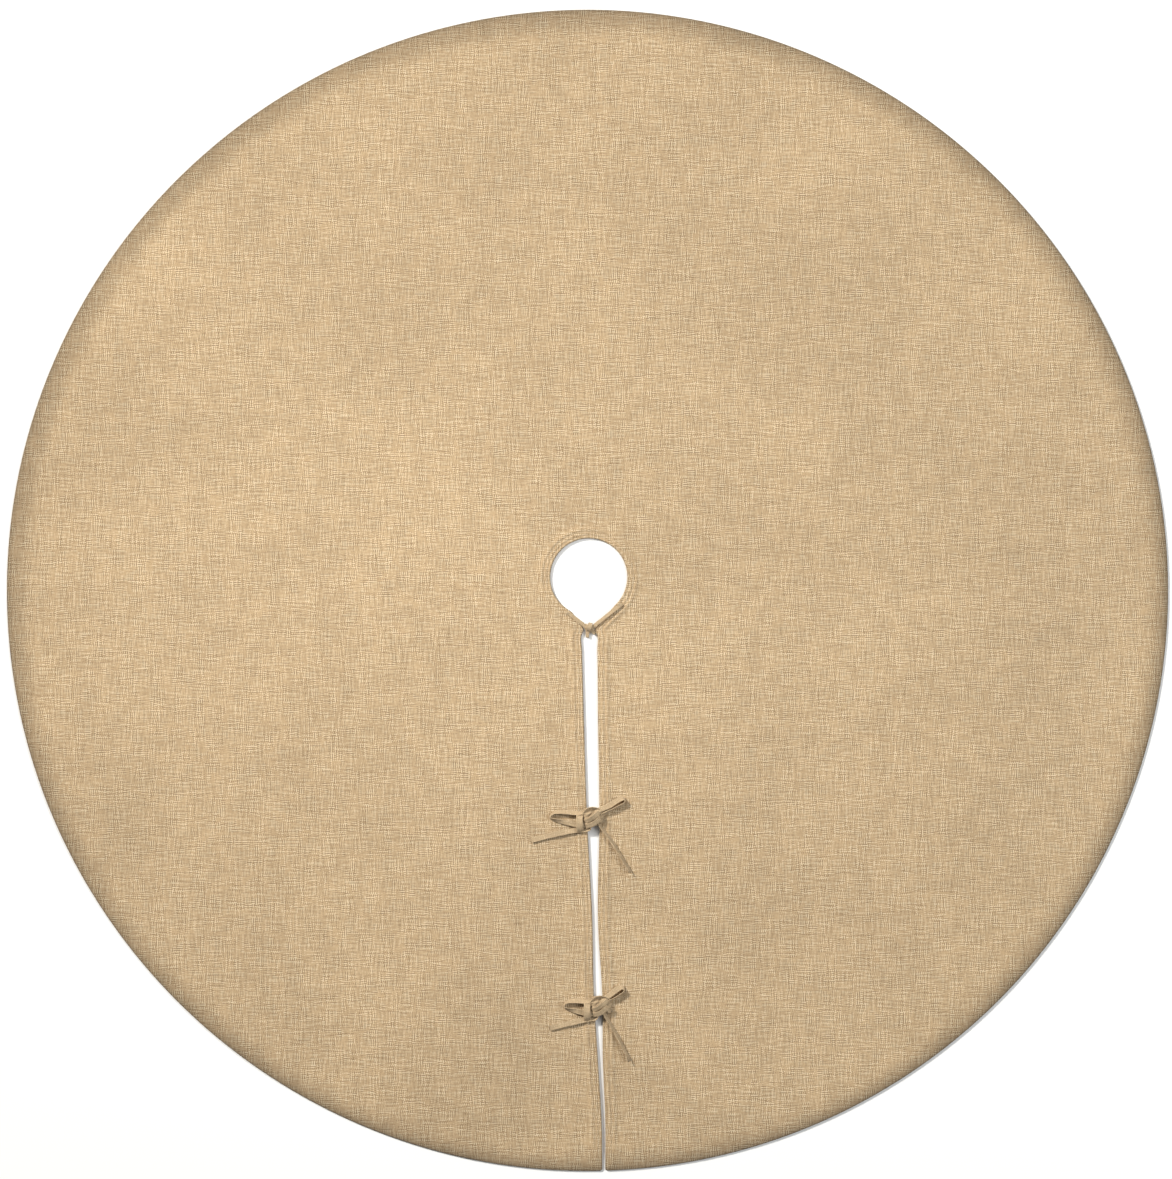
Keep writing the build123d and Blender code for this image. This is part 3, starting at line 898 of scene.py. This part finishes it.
def make_cloths():
    """Face cloth and lining, each in two halves, left and right, with close rows of points across the fold line.
    """
    for layer, rows, raise_by, material in (
        ("lining", LINING_ROWS, lining_height, LINING),
        ("face_cloth", FACE_ROWS, face_height, FACE),
    ):
        for side in SIDES:
            name = f"{layer}_{side}_half"
            mesh, place = shell(name, side, rows, raise_by)
            slot = "lining_cloth" if layer == "lining" else "face_cloth"
            nodes = [f"{layer}_back", f"{layer}_front_{side}"]
            piece = finish_piece(name, mesh, place, material, slot, *nodes)
            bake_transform(piece)


# ---------------------------------------------------------------- stitches

STITCH_LENGTH = 3.1 * MM
STITCH_GAP = 0.9 * MM
STITCH_RADIUS = 0.3 * MM
STITCH_SIDES = 8
STITCH_RISE = 0.22 * MM
TOPSTITCH_INSET = 7 * MM
# The topstitching ends this far from the rim.
TOPSTITCH_END = 9 * MM
TACK_STITCHES = 6
TACK_STITCH_RISE = 1.35 * MM
TACK_STITCH_SHARE = 0.95
TACK_STITCH_SLANT = 0.12


def stitches(name, lays, nodes):
    """Lengths of thread, each given by its middle, direction and length, that dip into the cloth."""
    # Sections from end to end of a stitch: place along it, thickness, and height in thread radii.
    shares = np.array([-0.5, -0.46, -0.36, -0.2, 0, 0.2, 0.36, 0.46, 0.5])
    swell = np.array([0.35, 0.75, 0.95, 1, 1, 1, 0.95, 0.75, 0.35])
    sink = np.array([-1.3, -0.8, -0.2, 0.15, 0.25, 0.15, -0.2, -0.8, -1.3])
    turn = np.arange(STITCH_SIDES) * 2 * math.pi / STITCH_SIDES
    points, place, faces = [], [], []
    for middle, heading, length in lays:
        heading = np.array(heading) / np.linalg.norm(heading)
        side = np.cross((0, 0, 1), heading)
        first = len(points)
        for share, size, drop in zip(shares, swell, sink):
            centre = np.array(middle) + heading * share * length + np.array((0, 0, drop * STITCH_RADIUS))
            for angle in turn:
                spoke = side * math.cos(angle) + np.array((0, 0, 1)) * math.sin(angle)
                points.append(centre + spoke * size * STITCH_RADIUS)
                place.append((angle, share * length, 0))
        rings = first + np.arange(len(shares) * STITCH_SIDES).reshape(len(shares), STITCH_SIDES)
        after = np.roll(rings, -1, axis=1)
        faces += np.stack([rings[:-1], after[:-1], after[1:], rings[1:]], axis=-1).reshape(-1, 4).tolist()
        faces += [rings[0][::-1].tolist(), rings[-1].tolist()]
    mesh = bpy.data.meshes.new(name)
    mesh.from_pydata([tuple(point) for point in points], [], faces)
    mesh.shade_smooth()
    return finish_piece(name, mesh, place, THREAD, "sewing_thread", *nodes)


def make_topstitching():
    """The row of stitches round the neck and down the slit, in a groove of the welt."""
    groove = next(z for inset, z in FACE_OVER if inset * MM == TOPSTITCH_INSET) * MM
    for side in SIDES:
        line = chain(side, TOPSTITCH_INSET)
        rim_start = next(i for i, point in enumerate(line) if np.hypot(*point) > RIM_RADIUS - TOPSTITCH_END)
        line = line[:rim_start]
        total = reach_along(line)[-1]
        first, pitch = STITCH_GAP + STITCH_LENGTH / 2, STITCH_LENGTH + STITCH_GAP
        middles = np.arange(first, total - STITCH_LENGTH, pitch)
        here, ahead = at_reach(line, middles), at_reach(line, middles + 0.5 * MM)
        lays = []
        for a, b in zip(here, ahead):
            z = groove + lift(np.array([a]))[0] + STITCH_RISE
            lays.append(((a[0], a[1], z), (b[0] - a[0], b[1] - a[1], 0), STITCH_LENGTH))
        nodes = ["topstitch_back", f"topstitch_front_{side}"]
        piece = stitches(f"topstitching_{side}", lays, nodes)
        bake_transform(piece)


def make_tacks():
    """Each string's end is sewn down by a block of close stitches that lie over it."""
    for tie in ("neck", "middle", "lower"):
        for side in SIDES:
            low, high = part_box(f"{tie}_tack_{side}")
            middle = (low + high) / 2
            length = (high.y - low.y) * TACK_STITCH_SHARE
            pitch = (high.x - low.x) / TACK_STITCHES
            z = high.z + TACK_STITCH_RISE
            lays = [
                ((low.x + (k + 0.5) * pitch, middle.y, z), (TACK_STITCH_SLANT * (-1) ** k, 1, 0), length)
                for k in range(TACK_STITCHES)
            ]
            piece = stitches(f"{tie}_bar_tack_{side}", lays, [f"{tie}_tack_{side}"])
            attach(piece, f"front_{side}")


make_camera()
make_lights()
make_floor()
make_strings()
make_cloths()
make_topstitching()
make_tacks()

for seam in ("neck_seam_back", "rim_seam_back", "edge_seam_front_left", "edge_seam_front_right"):
    seam_mesh = frame["nodes"][seam].data
    seam_mesh.materials.clear()
    seam_mesh.materials.append(THREAD)
